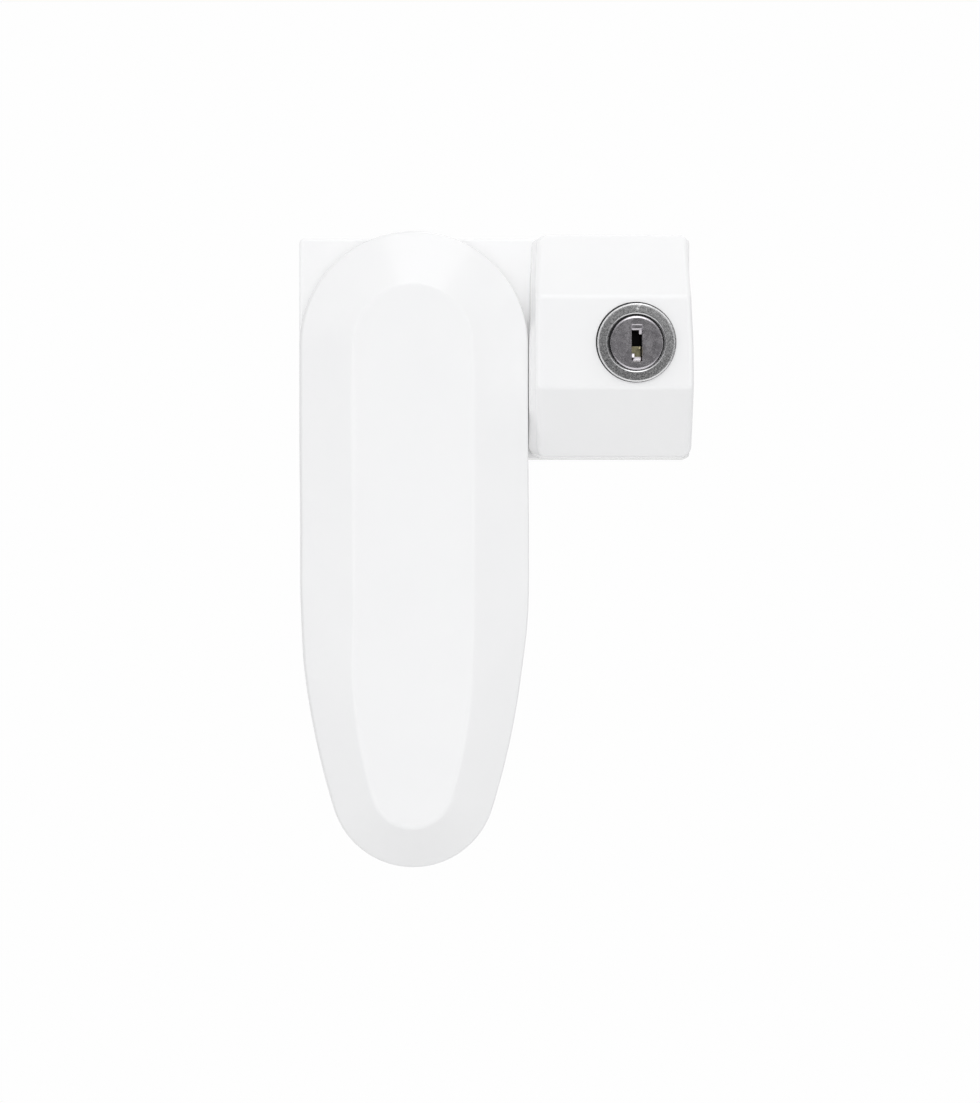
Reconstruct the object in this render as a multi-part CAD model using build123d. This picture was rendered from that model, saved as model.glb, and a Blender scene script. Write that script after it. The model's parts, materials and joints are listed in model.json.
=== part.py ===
from build123d import *
import math
import os

# Door lock of a recreational vehicle: a turning arm that bars the door, and a key lock that holds it.
#
# Pieces are modelled lying on their back: X to the right, Y up the vehicle's wall and Z straight off
# the wall, which is at Z = 0. stand() turns each finished piece upright, so that in the files +Z is
# up and the front faces -Y. The origin is the middle of the four wall bolts, on the wall.
# Lengths are in millimetres and angles in degrees. Pieces are stored with the arm hanging down and
# the bolt drawn back out of the locking disc.

# Clearances
running_gap = 0.06  # radial, between a shaft and its bearing
slide_gap = 0.2  # between flat faces that move past each other
fit_gap = 0.05  # between fixed pieces, threads included
moving_gap = 0.4  # between pieces that must not meet

# Arm, seen from the front, with its round top end about the pivot
arm_half_width = 34.0
arm_straight = 75.5  # how far the straight sides run below the pivot
arm_reach = 154.5  # from the pivot to the tip
arm_tip_radius = 24.5
plateau_half_width = 17.5
plateau_straight = 92.4
plateau_reach = 142.2
plateau_tip_radius = 11.8

# Arm, off the wall
arm_gap = 0.8  # between the base and the arm's back
arm_side_height = 16.2  # from the arm's back to the rim where the sloping band starts
arm_band_height = 11.0  # from the rim to the flat plateau
arm_rim_radius = 4.0  # rounds the edge between the sides and the band
plateau_edge_radius = 2.5
cover_wall = 3.0
arm_plate_thickness = 4.0
rib_thickness = 2.0
rib_places = (-44.0, -66.0, -108.0)  # below the pivot
rib_depth = 9.0  # how far a rib reaches down from the plateau
cover_boss_radius = 4.5
cover_screw_inset = 10.0  # from the arm's side to its screws
cover_screw_drop = 18.0  # of the upper pair, below the pivot
cover_screw_taper = 8.0  # of the lower pair, below the end of the straight sides
cover_screw_lean = 2.0  # the lower pair stands this much closer together at each side
cover_screw_tip = 18.5  # of the lowest screw, above the tip

# Lock housing
housing_width = 46.5
arm_side_gap = 2.0  # between the arm's round end and the housing
housing_top = 33.9
housing_bottom = -33.4
housing_crease_top = 13.9  # the upper slope meets the front facet
housing_crease_bottom = -13.0  # the front facet meets the lower slope
housing_height = 28.0  # from the base's front to the front facet
housing_top_height = 6.0  # height of the upright wall at the top
housing_chin_set_back = 17.0
housing_wall = 3.0
housing_edge_radius = 1.5
housing_corner_radius = 3.0  # seen from the front
housing_boss_radius = 4.8
housing_boss_height = 12.0
housing_screw_wall_gap = 2.1  # between the left screws' heads and the base's wall
housing_screw_nut_gap = 2.0  # between the right screws' axes and the wall nuts' collars

# Base
base_height = 66.0
base_corner_radius = 1.5
smallest_corner_radius = 0.4
base_edge_radius = 0.8
base_wall = 3.5
base_front_wall = 3.0
arm_edge_inset = 0.5  # the arm's left edge stands this far inside the base's
gasket_thickness = 1.5
plate_thickness = 2.5
plate_lip = 1.6  # thin lip of the base round the back plate
boss_radius = 3.5
boss_merge = 0.5  # how far a boss runs into the wall beside it
boss_nut_gap = 2.5  # between the left bosses and the wall nuts' collars
boss_disc_offset = 3.0  # of the middle bosses, past the locking disc's edge
boss_cylinder_offset = 7.5  # of the right bosses, short of the cylinder's axis

# Wall bolts and their pressed-in nuts
wall_bolt_inset = 9.5  # from the base's edges
wall_thread_radius = 2.5
wall_hole_radius = 3.4
nut_collar_radius = 5.5
nut_shank_radius = 4.2
nut_collar_height = 3.8

# Hub and locking disc
hub_radius = 13.0
hub_end_radius = 10.0
hub_flat_reach = 7.5  # from the axis to each flat of the hub's end
hub_flange_radius = 21.0
hub_flange_thickness = 3.0
bush_wall = 2.0
bush_flange_radius = 20.0
thrust_thickness = 0.6
disc_radius = 23.0
disc_thickness = 6.0
notch_end_gap = 0.8
notch_side_gap = 0.5
retainer_radius = 12.5
retainer_thickness = 1.2

# Bolt, crank and guide
bolt_half_height = 6.0
bolt_thickness = 5.0
bolt_nose_gap = 1.5  # between the drawn-back bolt and the disc
bolt_nose_chamfer = 1.0
bolt_leg_width = 7.0
bolt_bar_wall = 4.0
crank_radius = 7.0
crank_half_turn = 45.0  # the pin swings this far to each side of straight down
crank_thickness = 2.2
crank_hub_radius = 8.0
crank_ear_radius = 4.2
crank_pin_radius = 2.0
keeper_thickness = 1.8
keeper_half_height = 13.0
keeper_room = 1.0  # between the keeper and the back plate
guide_gap = 4.0  # between the disc's edge and the guide
leg_guide_gap = 1.0  # between the bolt's leg and the guide, with the bolt thrown
leg_screw_gap = 1.0  # between the bolt's leg and the crank's screw
bar_screw_gap = 0.5  # between the bolt's bar and the crank's screw
yoke_side = 3.0  # width of the bar past the yoke

# Key cylinder
cylinder_inset = 17.0  # from the housing's right side to the cylinder's axis
cylinder_y = 0.4
plug_radius = 7.0
plug_head_radius = 7.9
plug_head_thickness = 1.1
plug_groove = 0.6  # ring gap seen round the plug's head
plug_set_back = 0.3  # the plug's face lies this far behind the bezel's face
plug_tail_half = 3.0
cylinder_wall = 2.5
cylinder_flat_wall = 1.3
bezel_radius = 11.75
bezel_height = 2.0
bezel_chamfer = 0.75
bezel_inner_chamfer = 0.3
bezel_dot_radius = 0.45
bezel_dot_place = 9.9
key_slot_half_width = 1.6
key_slot_half_height = 5.55
key_slot_depth = 23.7
wafer_count = 6
wafer_pitch = 2.6
wafer_start = 5.0  # behind the plug's head
wafer_thickness = 1.0
wafer_half_width = 3.8
wafer_window_half_width = 1.9
wafer_window_half_height = 4.4
wafer_steps = (0.0, 0.5, -0.4, 0.3, -0.5, 0.2)  # how high each wafer's window sits
wafer_gap = 0.1
cylinder_nut_half_flats = 11.0
cylinder_nut_thickness = 4.0

# Door pad on the arm's back
pad_middle = -94.0  # below the pivot
pad_length = 64.0
pad_width = 14.0
pad_thickness = 5.0
pad_edge_radius = 1.5
pad_peg_radius = 2.5
pad_peg_spacing = 36.0

# Screws: thread radius, head radius, length
plate_screw = (1.75, 3.3, 11.0)
cover_screw = (2.0, 4.0, 14.0)
keeper_screw = (1.5, 2.8, 7.0)
hub_screw = (2.0, 3.5, 5.6)
housing_screw = (2.0, 3.4, 12.0)
disc_screw = (4.0, 7.0, 14.0)
crank_screw = (1.5, 3.6, 8.0)
pan_head_height = 2.2
pan_head_edge_radius = 0.66
pan_socket_floor = 0.6
socket_share = 0.55  # socket radius over thread radius
countersunk_socket_share = 0.8  # socket depth over head height

# Places across the wall
base_width = arm_edge_inset + 2 * arm_half_width + arm_side_gap + housing_width
base_right = base_width / 2
pivot_x = -base_right + arm_edge_inset + arm_half_width
housing_left = base_right - housing_width
cylinder_x = base_right - cylinder_inset
cylinder_radius = plug_radius + cylinder_wall
wall_bolt_x = base_right - wall_bolt_inset
wall_bolt_y = base_height / 2 - wall_bolt_inset

# Bolt and crank, across the wall
bolt_travel = 2 * crank_radius * math.sin(math.radians(crank_half_turn))
crank_pin_x = cylinder_x + crank_radius * math.sin(math.radians(crank_half_turn))
crank_pin_y = cylinder_y - crank_radius * math.cos(math.radians(crank_half_turn))
# The pin's path is a sine and the bolt's a straight line: they part by 3% of the crank's radius
yoke_gap = 0.05 * crank_radius
disc_edge_x = pivot_x + disc_radius
bolt_nose_x = disc_edge_x + bolt_nose_gap
leg_right = cylinder_x - crank_screw[1] - leg_screw_gap
leg_left = leg_right - bolt_leg_width
guide_left = disc_edge_x + guide_gap
guide_right = leg_left - bolt_travel - leg_guide_gap
guide_middle = (guide_left + guide_right) / 2
bar_top = cylinder_y - crank_screw[1] - bar_screw_gap
slot_bottom = cylinder_y - crank_radius - crank_pin_radius - moving_gap
bar_bottom = slot_bottom - bolt_bar_wall
bar_right = crank_pin_x + crank_pin_radius + yoke_gap + yoke_side
notch_floor = disc_radius - (bolt_travel - bolt_nose_gap) - notch_end_gap

# Places off the wall, from the wall outwards
gasket_front = gasket_thickness
plate_front = gasket_front + plate_thickness
keeper_back = plate_front + keeper_room
keeper_front = keeper_back + keeper_thickness
bolt_back = keeper_front + slide_gap
bolt_front = bolt_back + bolt_thickness
crank_stack = bolt_front + moving_gap + crank_thickness + moving_gap
disc_stack = (
    plate_front + moving_gap + pan_head_height + retainer_thickness
    + disc_thickness + slide_gap + thrust_thickness
)
cavity_front = max(crank_stack, disc_stack)
crank_front = cavity_front - moving_gap
crank_back = crank_front - crank_thickness
cylinder_back = crank_front + slide_gap
disc_front = cavity_front - thrust_thickness - slide_gap
disc_back = disc_front - disc_thickness
base_front = cavity_front + base_front_wall
arm_back = base_front + arm_gap
arm_plate_front = arm_back + arm_plate_thickness
arm_rim = arm_back + arm_side_height
arm_front = arm_rim + arm_band_height
housing_front = base_front + housing_height
bezel_front = housing_front + bezel_height
plug_front = bezel_front - plug_set_back
plug_head_back = plug_front - plug_head_thickness
first_wafer = plug_head_back - wafer_start
last_wafer = first_wafer - (wafer_count - 1) * wafer_pitch - wafer_thickness

# Screw places, as (x, y)
wall_bolt_points = [(sx * wall_bolt_x, sy * wall_bolt_y) for sx in (-1, 1) for sy in (-1, 1)]
plate_screw_inset = base_wall + boss_radius - boss_merge
plate_screw_edge = base_height / 2 - plate_screw_inset
plate_screw_side = wall_bolt_y - nut_collar_radius - boss_nut_gap - boss_radius
plate_screw_points = [
    (x, side * y)
    for x, y in (
        (-base_right + plate_screw_inset, plate_screw_side),
        (disc_edge_x + boss_disc_offset, plate_screw_edge),
        (cylinder_x - boss_cylinder_offset, plate_screw_edge),
    )
    for side in (-1, 1)
]
housing_screw_inset = housing_wall + housing_boss_radius - boss_merge
housing_screw_left_y = base_height / 2 - base_wall - housing_screw_wall_gap - housing_screw[1]
housing_screw_right_y = wall_bolt_y - nut_collar_radius - housing_screw_nut_gap
housing_screw_points = [
    (x, side * y)
    for x, y in (
        (housing_left + housing_screw_inset, housing_screw_left_y),
        (base_right - housing_screw_inset, housing_screw_right_y),
    )
    for side in (-1, 1)
]
rail_inner = bolt_half_height + slide_gap
rail_middle = (rail_inner + keeper_half_height) / 2
keeper_screw_points = [(guide_middle, side * rail_middle) for side in (-1, 1)]
hub_screw_circle = (hub_radius + hub_flange_radius) / 2
hub_screw_points = [
    (
        pivot_x + hub_screw_circle * math.cos(math.radians(angle)),
        hub_screw_circle * math.sin(math.radians(angle)),
    )
    for angle in (45, 135, 225, 315)
]
cover_screw_side = arm_half_width - cover_screw_inset
cover_screw_low = -arm_straight - cover_screw_taper
cover_screw_points = [
    (pivot_x - cover_screw_side, -cover_screw_drop),
    (pivot_x + cover_screw_side, -cover_screw_drop),
    (pivot_x - cover_screw_side + cover_screw_lean, cover_screw_low),
    (pivot_x + cover_screw_side - cover_screw_lean, cover_screw_low),
    (pivot_x, -arm_reach + cover_screw_tip),
]
pad_peg_points = [(pivot_x, pad_middle + side * pad_peg_spacing / 2) for side in (-1, 1)]


def stand(piece):
    """Turns a piece that lies on its back upright, as it hangs on the wall."""
    return piece.rotate(Axis.X, 90)


def rod(radius, low, high, x=0.0, y=0.0):
    """Solid cylinder along Z."""
    return Pos(x, y, low) * Cylinder(radius, high - low, align=(Align.CENTER, Align.CENTER, Align.MIN))


def cone(low_radius, high_radius, low, high, x=0.0, y=0.0):
    """Solid cone along Z, cut off at both ends."""
    shape = Cone(low_radius, high_radius, high - low, align=(Align.CENTER, Align.CENTER, Align.MIN))
    return Pos(x, y, low) * shape


def block(left, right, bottom, top, low, high):
    """Box between two values along each axis."""
    size = (right - left, top - bottom, high - low)
    return Pos(left, bottom, low) * Box(*size, align=(Align.MIN, Align.MIN, Align.MIN))


def slab(outline, low, high):
    """Flat outline given a thickness along Z."""
    return Pos(0, 0, low) * extrude(outline, high - low)


def hexagon(half_flats, low, high, x=0.0, y=0.0):
    """Hexagonal bar along Z, from its axis to a flat measured by half_flats."""
    outline = RegularPolygon(half_flats, 6, major_radius=False)
    return Pos(x, y, low) * extrude(outline, high - low)


def countersunk_screw(size):
    """Screw along +Z with the face of its head at Z = 0."""
    radius, head_radius, length = size
    head_height = head_radius - radius
    body = cone(head_radius, radius, 0, head_height) + rod(radius, head_height, length)
    return body - hexagon(socket_share * radius, 0, countersunk_socket_share * head_height)


def pan_screw(size):
    """Screw along +Z with the seat of its head at Z = 0."""
    radius, head_radius, length = size
    head = rod(head_radius, -pan_head_height, 0)
    head = fillet(head.edges().group_by(Axis.Z)[0], pan_head_edge_radius)
    socket = hexagon(socket_share * radius, -pan_head_height, -pan_socket_floor)
    return head + rod(radius, 0, length) - socket


def countersunk_hole(size, low, high, x, y):
    """Room for a countersunk screw whose head is flush at low."""
    radius, head_radius, _ = size
    head_height = head_radius - radius
    hole = cone(head_radius + fit_gap, radius + fit_gap, low, low + head_height, x, y)
    return hole + rod(radius + fit_gap, low, high, x, y)


def placed(piece, points, z):
    """Copies of a piece at each point, as separate solids."""
    return Compound(children=[(Pos(x, y, z) * piece).solid() for x, y in points])


def base_outline(inset=0.0):
    """The base's rectangle, drawn in by an even inset."""
    corner = max(base_corner_radius - inset, smallest_corner_radius)
    return RectangleRounded(base_width - 2 * inset, base_height - 2 * inset, corner)


def paddle(half_width, straight, reach, tip_radius):
    """Outline that hangs from the pivot: round top, straight sides, tapering arcs and a round tip."""
    tip_centre = Vector(0, tip_radius - reach)
    drop = reach - tip_radius - straight
    side_radius = (half_width**2 + drop**2 - tip_radius**2) / (2 * (half_width - tip_radius))
    side_centre = Vector(half_width - side_radius, -straight)
    meeting = tip_centre + (tip_centre - side_centre).normalized() * tip_radius
    mirrored = Vector(-meeting.X, meeting.Y)
    sketch = make_face(
        ThreePointArc((-half_width, 0), (0, half_width), (half_width, 0))
        + Line((half_width, 0), (half_width, -straight))
        + TangentArc((half_width, -straight), meeting, tangent=(0, -1))
        + ThreePointArc(meeting, (0, -reach), mirrored)
        + TangentArc((-half_width, -straight), mirrored, tangent=(0, -1))
        + Line((-half_width, -straight), (-half_width, 0))
    )
    return Pos(pivot_x, 0) * sketch


def arm_outline(inset=0.0):
    """Outline of the arm's side walls."""
    return paddle(arm_half_width - inset, arm_straight, arm_reach - inset, arm_tip_radius - inset)


def plateau_outline(inset=0.0):
    """Outline of the raised flat in the middle of the arm."""
    return paddle(
        plateau_half_width - inset,
        plateau_straight,
        plateau_reach - inset,
        plateau_tip_radius - inset,
    )


def arm_form(inset, low, rim, plateau_inset, front):
    """Upright sides up to the rim, then a band that slopes in to the plateau."""
    sides = slab(arm_outline(inset), low, rim)
    band = loft(
        [Pos(0, 0, rim) * arm_outline(inset), Pos(0, 0, front) * plateau_outline(plateau_inset)],
        ruled=True,
    )
    return sides + band


def wall_gasket():
    """Rubber sheet between the lock and the vehicle's skin."""
    holes = [rod(wall_hole_radius, 0, gasket_front, x, y) for x, y in wall_bolt_points]
    return slab(base_outline(), 0, gasket_front) - holes


def back_plate():
    """Steel plate that closes the base and takes the wall bolts."""
    plate = slab(base_outline(plate_lip + fit_gap), gasket_front, plate_front)
    plate -= [rod(nut_shank_radius, gasket_front, plate_front, x, y) for x, y in wall_bolt_points]
    plate -= [
        countersunk_hole(plate_screw, gasket_front, plate_front, x, y) for x, y in plate_screw_points
    ]
    return plate


def wall_nuts():
    """Threaded nuts pressed into the back plate from inside."""
    collar_front = plate_front + nut_collar_height
    nut = rod(nut_shank_radius, gasket_front, plate_front)
    nut += rod(nut_collar_radius, plate_front, collar_front)
    nut -= rod(wall_thread_radius, gasket_front, collar_front)
    return placed(nut, wall_bolt_points, 0)


def bolt_guide():
    """Floor and two rails that the bolt slides between, cast with the base."""
    floor = block(
        guide_left, guide_right, -keeper_half_height, keeper_half_height,
        bolt_front + slide_gap, cavity_front,
    )
    upper = block(
        guide_left, guide_right, rail_inner, keeper_half_height, keeper_front, cavity_front
    )
    lower = block(
        guide_left, guide_right, -keeper_half_height, -rail_inner, keeper_front, cavity_front
    )
    return floor + upper + lower


def base_casting():
    """Shallow box behind the arm and under the housing, open at the back."""
    casting = slab(base_outline(), gasket_front, base_front)
    casting = fillet(casting.edges().group_by(Axis.Z)[-1], base_edge_radius)
    casting -= slab(base_outline(base_wall), gasket_front, cavity_front)
    casting -= slab(base_outline(plate_lip), gasket_front, plate_front)
    casting += [rod(boss_radius, plate_front, cavity_front, x, y) for x, y in plate_screw_points]
    casting += bolt_guide()
    casting -= rod(hub_radius + running_gap + bush_wall, cavity_front, base_front, pivot_x)
    casting -= rod(cylinder_radius + moving_gap, cavity_front, base_front, cylinder_x, cylinder_y)
    screw_end = gasket_front + plate_screw[2]
    casting -= [
        rod(plate_screw[0] + fit_gap, plate_front, screw_end, x, y) for x, y in plate_screw_points
    ]
    casting -= [
        rod(housing_screw[0] + fit_gap, cavity_front, base_front, x, y)
        for x, y in housing_screw_points
    ]
    keeper_end = keeper_back + keeper_screw[2]
    casting -= [
        rod(keeper_screw[0] + fit_gap, keeper_front, keeper_end, x, y) for x, y in keeper_screw_points
    ]
    return casting


def back_plate_screws():
    """Countersunk screws that hold the back plate in the base."""
    return placed(countersunk_screw(plate_screw), plate_screw_points, gasket_front)


def hub_bush():
    """Flanged bearing bush in the base's front wall, whose flange carries the arm's back."""
    bore = hub_radius + running_gap
    bush = rod(bore + bush_wall, cavity_front, base_front, pivot_x)
    bush += rod(bush_flange_radius, base_front, arm_back - slide_gap, pivot_x)
    return bush - rod(bore, cavity_front, arm_back, pivot_x)


def disc_washer():
    """Thrust washer between the locking disc and the base."""
    low = cavity_front - thrust_thickness
    washer = rod(bush_flange_radius, low, cavity_front, pivot_x)
    return washer - rod(hub_radius + moving_gap, low, cavity_front, pivot_x)


def bolt_keeper():
    """Plate that holds the bolt in its guide."""
    keeper = block(
        guide_left, guide_right, -keeper_half_height, keeper_half_height, keeper_back, keeper_front
    )
    return keeper - [
        countersunk_hole(keeper_screw, keeper_back, keeper_front, x, y)
        for x, y in keeper_screw_points
    ]


def keeper_screws():
    """Countersunk screws that hold the keeper on the guide's rails."""
    return placed(countersunk_screw(keeper_screw), keeper_screw_points, keeper_back)


def housing_profile(low):
    """The housing's outline seen from its side, as (y, z), from low up to its front facet."""
    return Polyline(
        (housing_bottom, low),
        (housing_bottom, housing_front - housing_chin_set_back),
        (housing_crease_bottom, housing_front),
        (housing_crease_top, housing_front),
        (housing_top, base_front + housing_top_height),
        (housing_top, low),
        close=True,
    )


def housing_form(side, inset):
    """The side outline across the housing's width, with its corners rounded as seen from the front."""
    width = housing_width - 2 * inset
    height = housing_top - housing_bottom - 2 * inset
    corner = max(housing_corner_radius - inset, smallest_corner_radius)
    middle = Pos((housing_left + base_right) / 2, (housing_top + housing_bottom) / 2)
    front = slab(middle * RectangleRounded(width, height, corner), base_front - housing_wall, housing_front)
    return extrude(Plane.YZ.offset(housing_left) * side, housing_width) & front


def lock_housing():
    """Faceted cap that holds the key cylinder, open towards the base."""
    outer = housing_form(make_face(housing_profile(base_front)), 0)
    raised = outer.edges().filter_by(Axis.Z, reverse=True)
    raised = raised.filter_by(lambda edge: edge.center().Z > base_front + fit_gap)
    outer = fillet(raised, housing_edge_radius)
    hollow = offset(
        make_face(housing_profile(base_front - housing_wall)), -housing_wall, kind=Kind.INTERSECTION
    )
    room = housing_form(hollow, housing_wall)
    boss_top = base_front + housing_boss_height
    bosses = Part() + [
        rod(housing_boss_radius, base_front, boss_top, x, y) for x, y in housing_screw_points
    ]
    housing = outer - room + (bosses & outer)
    screw_end = cavity_front + housing_screw[2]
    housing -= [
        rod(housing_screw[0] + fit_gap, base_front, screw_end, x, y) for x, y in housing_screw_points
    ]
    return housing - cylinder_shank(base_front, housing_front, fit_gap)


def housing_screws():
    """Pan head screws from inside the base into the housing's bosses."""
    return placed(pan_screw(housing_screw), housing_screw_points, cavity_front)


def cylinder_shank(low, high, gap=0.0):
    """Round shank of the key cylinder with a flat at each side."""
    radius = cylinder_radius + gap
    flat = plug_radius + cylinder_flat_wall + gap
    flats = block(
        cylinder_x - flat, cylinder_x + flat, cylinder_y - radius, cylinder_y + radius, low, high
    )
    return rod(radius, low, high, cylinder_x, cylinder_y) & flats


def cylinder_body():
    """Body of the key cylinder, with its round bezel on the housing's front facet."""
    head_room = plug_head_radius + plug_groove
    bezel = rod(bezel_radius, housing_front, bezel_front, cylinder_x, cylinder_y)
    bezel = chamfer(bezel.edges().group_by(Axis.Z)[-1], bezel_chamfer)
    body = cylinder_shank(cylinder_back, housing_front) + bezel
    body -= rod(head_room, plug_head_back - slide_gap, bezel_front, cylinder_x, cylinder_y)
    body -= cone(
        head_room, head_room + bezel_inner_chamfer, bezel_front - bezel_inner_chamfer, bezel_front,
        cylinder_x, cylinder_y,
    )
    body -= rod(plug_radius + running_gap, cylinder_back, bezel_front, cylinder_x, cylinder_y)
    channel_half = plug_radius + cylinder_wall / 2
    body -= block(
        cylinder_x - wafer_half_width - wafer_gap, cylinder_x + wafer_half_width + wafer_gap,
        cylinder_y - channel_half, cylinder_y + channel_half,
        last_wafer - wafer_thickness, first_wafer + wafer_thickness,
    )
    dot = cone(
        0, bezel_dot_radius, bezel_front - bezel_dot_radius, bezel_front,
        cylinder_x, cylinder_y + bezel_dot_place,
    )
    return body - dot


def cylinder_nut():
    """Hexagon nut that clamps the cylinder behind the housing's front wall."""
    high = housing_front - housing_wall
    low = high - cylinder_nut_thickness
    nut = hexagon(cylinder_nut_half_flats, low, high, cylinder_x, cylinder_y)
    return nut - rod(cylinder_radius + fit_gap, low, high, cylinder_x, cylinder_y)


def cylinder_plug():
    """The part the key turns: a head with the key slot, a barrel and a square tail."""
    head = rod(plug_head_radius, plug_head_back, plug_front, cylinder_x, cylinder_y)
    head = chamfer(head.edges().group_by(Axis.Z)[-1], bezel_inner_chamfer)
    plug = head + rod(plug_radius, cylinder_back, plug_head_back, cylinder_x, cylinder_y)
    plug += block(
        cylinder_x - plug_tail_half, cylinder_x + plug_tail_half,
        cylinder_y - plug_tail_half, cylinder_y + plug_tail_half, crank_back + fit_gap, cylinder_back,
    )
    plug -= block(
        cylinder_x - key_slot_half_width, cylinder_x + key_slot_half_width,
        cylinder_y - key_slot_half_height, cylinder_y + key_slot_half_height,
        plug_front - key_slot_depth, plug_front,
    )
    slot_half = wafer_half_width + wafer_gap
    for index in range(wafer_count):
        front = first_wafer - index * wafer_pitch
        plug -= block(
            cylinder_x - slot_half, cylinder_x + slot_half,
            cylinder_y - plug_radius, cylinder_y + plug_radius,
            front - wafer_thickness - wafer_gap, front + wafer_gap,
        )
    screw_end = crank_back + crank_screw[2]
    return plug - rod(crank_screw[0] + fit_gap, crank_back, screw_end, cylinder_x, cylinder_y)


def wafers():
    """Thin plates that the key lifts, stored level with the plug as the key holds them."""
    plates = []
    for index in range(wafer_count):
        front = first_wafer - index * wafer_pitch
        back = front - wafer_thickness
        step = cylinder_y + wafer_steps[index % len(wafer_steps)]
        plate = block(
            cylinder_x - wafer_half_width, cylinder_x + wafer_half_width,
            cylinder_y - plug_radius, cylinder_y + plug_radius, back, front,
        )
        plate &= rod(plug_radius - wafer_gap, back, front, cylinder_x, cylinder_y)
        plate -= block(
            cylinder_x - wafer_window_half_width, cylinder_x + wafer_window_half_width,
            step - wafer_window_half_height, step + wafer_window_half_height, back, front,
        )
        plates.append(plate.solid())
    return Compound(children=plates)


def drive_crank():
    """Plate on the plug's square tail that carries the pin."""
    outline = Pos(cylinder_x, cylinder_y) * Circle(crank_hub_radius)
    outline += Pos(crank_pin_x, crank_pin_y) * Circle(crank_ear_radius)
    crank = slab(outline, crank_back, crank_front)
    half = plug_tail_half + fit_gap
    crank -= block(
        cylinder_x - half, cylinder_x + half, cylinder_y - half, cylinder_y + half,
        crank_back, crank_front,
    )
    return crank - rod(crank_pin_radius, crank_back, crank_front, crank_pin_x, crank_pin_y)


def crank_pin():
    """Pin that moves the bolt, pressed into the crank."""
    return rod(crank_pin_radius, bolt_back + moving_gap, crank_front, crank_pin_x, crank_pin_y)


def lock_bolt():
    """Steel bar that slides into the disc, with a leg and an open yoke for the crank's pin."""
    nose = block(bolt_nose_x, leg_left, -bolt_half_height, bolt_half_height, bolt_back, bolt_front)
    nose = chamfer(nose.edges().filter_by(Axis.Z).group_by(Axis.X)[0], bolt_nose_chamfer)
    leg = block(leg_left, leg_right, bar_bottom, bolt_half_height, bolt_back, bolt_front)
    bar = block(leg_left, bar_right, bar_bottom, bar_top, bolt_back, bolt_front)
    slot_half = crank_pin_radius + yoke_gap
    slot = block(
        crank_pin_x - slot_half, crank_pin_x + slot_half, slot_bottom, bar_top,
        bolt_back, bolt_front,
    )
    return nose + leg + bar - slot


def level_edges(solid, height):
    """Edges that lie flat at a height off the wall."""
    return solid.edges().filter_by_position(Axis.Z, height - fit_gap, height + fit_gap).filter_by(
        lambda edge: edge.bounding_box().size.Z < fit_gap
    )


def arm_cover():
    """Long rounded shell of the arm, open at the back, with bosses and ribs inside."""
    slope = arm_band_height / (arm_half_width - plateau_half_width)
    drop = cover_wall * math.sqrt(1 + slope**2)
    outer = arm_form(0, arm_back, arm_rim, 0, arm_front)
    outer = fillet(level_edges(outer, arm_rim), arm_rim_radius)
    outer = fillet(level_edges(outer, arm_front), plateau_edge_radius)
    inner_rim = arm_rim + slope * cover_wall - drop
    inner_front = arm_front - cover_wall
    room = arm_form(cover_wall, arm_back, inner_rim, (drop - cover_wall) / slope, inner_front)
    bosses = Part() + [
        rod(cover_boss_radius, arm_plate_front, arm_front, x, y) for x, y in cover_screw_points
    ]
    ribs = Part() + [
        block(
            pivot_x - arm_half_width, pivot_x + arm_half_width, place, place + rib_thickness,
            inner_front - rib_depth, inner_front,
        )
        for place in rib_places
    ]
    cover = outer - room + (bosses & outer) + (ribs & outer)
    screw_end = arm_back + cover_screw[2]
    return cover - [
        rod(cover_screw[0] + fit_gap, arm_plate_front, screw_end, x, y) for x, y in cover_screw_points
    ]


def arm_plate():
    """Steel plate that closes the arm's back and takes its load."""
    plate = slab(arm_outline(cover_wall + fit_gap), arm_back, arm_plate_front)
    plate -= rod(hub_radius + fit_gap, arm_back, arm_plate_front, pivot_x)
    plate -= [
        countersunk_hole(cover_screw, arm_back, arm_plate_front, x, y) for x, y in cover_screw_points
    ]
    screw_low = arm_plate_front + hub_flange_thickness - hub_screw[2]
    plate -= [
        rod(hub_screw[0] + fit_gap, screw_low, arm_plate_front, x, y) for x, y in hub_screw_points
    ]
    return plate - [
        rod(pad_peg_radius + fit_gap, arm_back, arm_plate_front, x, y) for x, y in pad_peg_points
    ]


def cover_screws():
    """Countersunk screws from the arm's back into the cover's bosses."""
    return placed(countersunk_screw(cover_screw), cover_screw_points, arm_back)


def door_pad():
    """Rubber pad on the arm's back that meets the door, with two pegs through the plate."""
    outline = Pos(pivot_x, pad_middle) * SlotOverall(pad_length, pad_width, rotation=90)
    pad = slab(outline, arm_back - pad_thickness, arm_back)
    pad = fillet(pad.edges().group_by(Axis.Z)[0], pad_edge_radius)
    return pad + [rod(pad_peg_radius, arm_back, arm_plate_front, x, y) for x, y in pad_peg_points]


def pivot_hub():
    """Flanged steel shaft of the arm, with two flats at its end for the locking disc."""
    flange_front = arm_plate_front + hub_flange_thickness
    end_back = disc_back + slide_gap
    flats = block(
        pivot_x - hub_end_radius, pivot_x + hub_end_radius, -hub_flat_reach, hub_flat_reach,
        end_back, disc_front,
    )
    hub = rod(hub_flange_radius, arm_plate_front, flange_front, pivot_x)
    hub += rod(hub_radius, disc_front, arm_plate_front, pivot_x)
    hub += rod(hub_end_radius, end_back, disc_front, pivot_x) & flats
    screw_end = disc_back - retainer_thickness + disc_screw[2]
    hub -= rod(disc_screw[0] + fit_gap, end_back, screw_end, pivot_x)
    return hub - [
        rod(hub_screw[0] + fit_gap, arm_plate_front, flange_front, x, y) for x, y in hub_screw_points
    ]


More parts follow.
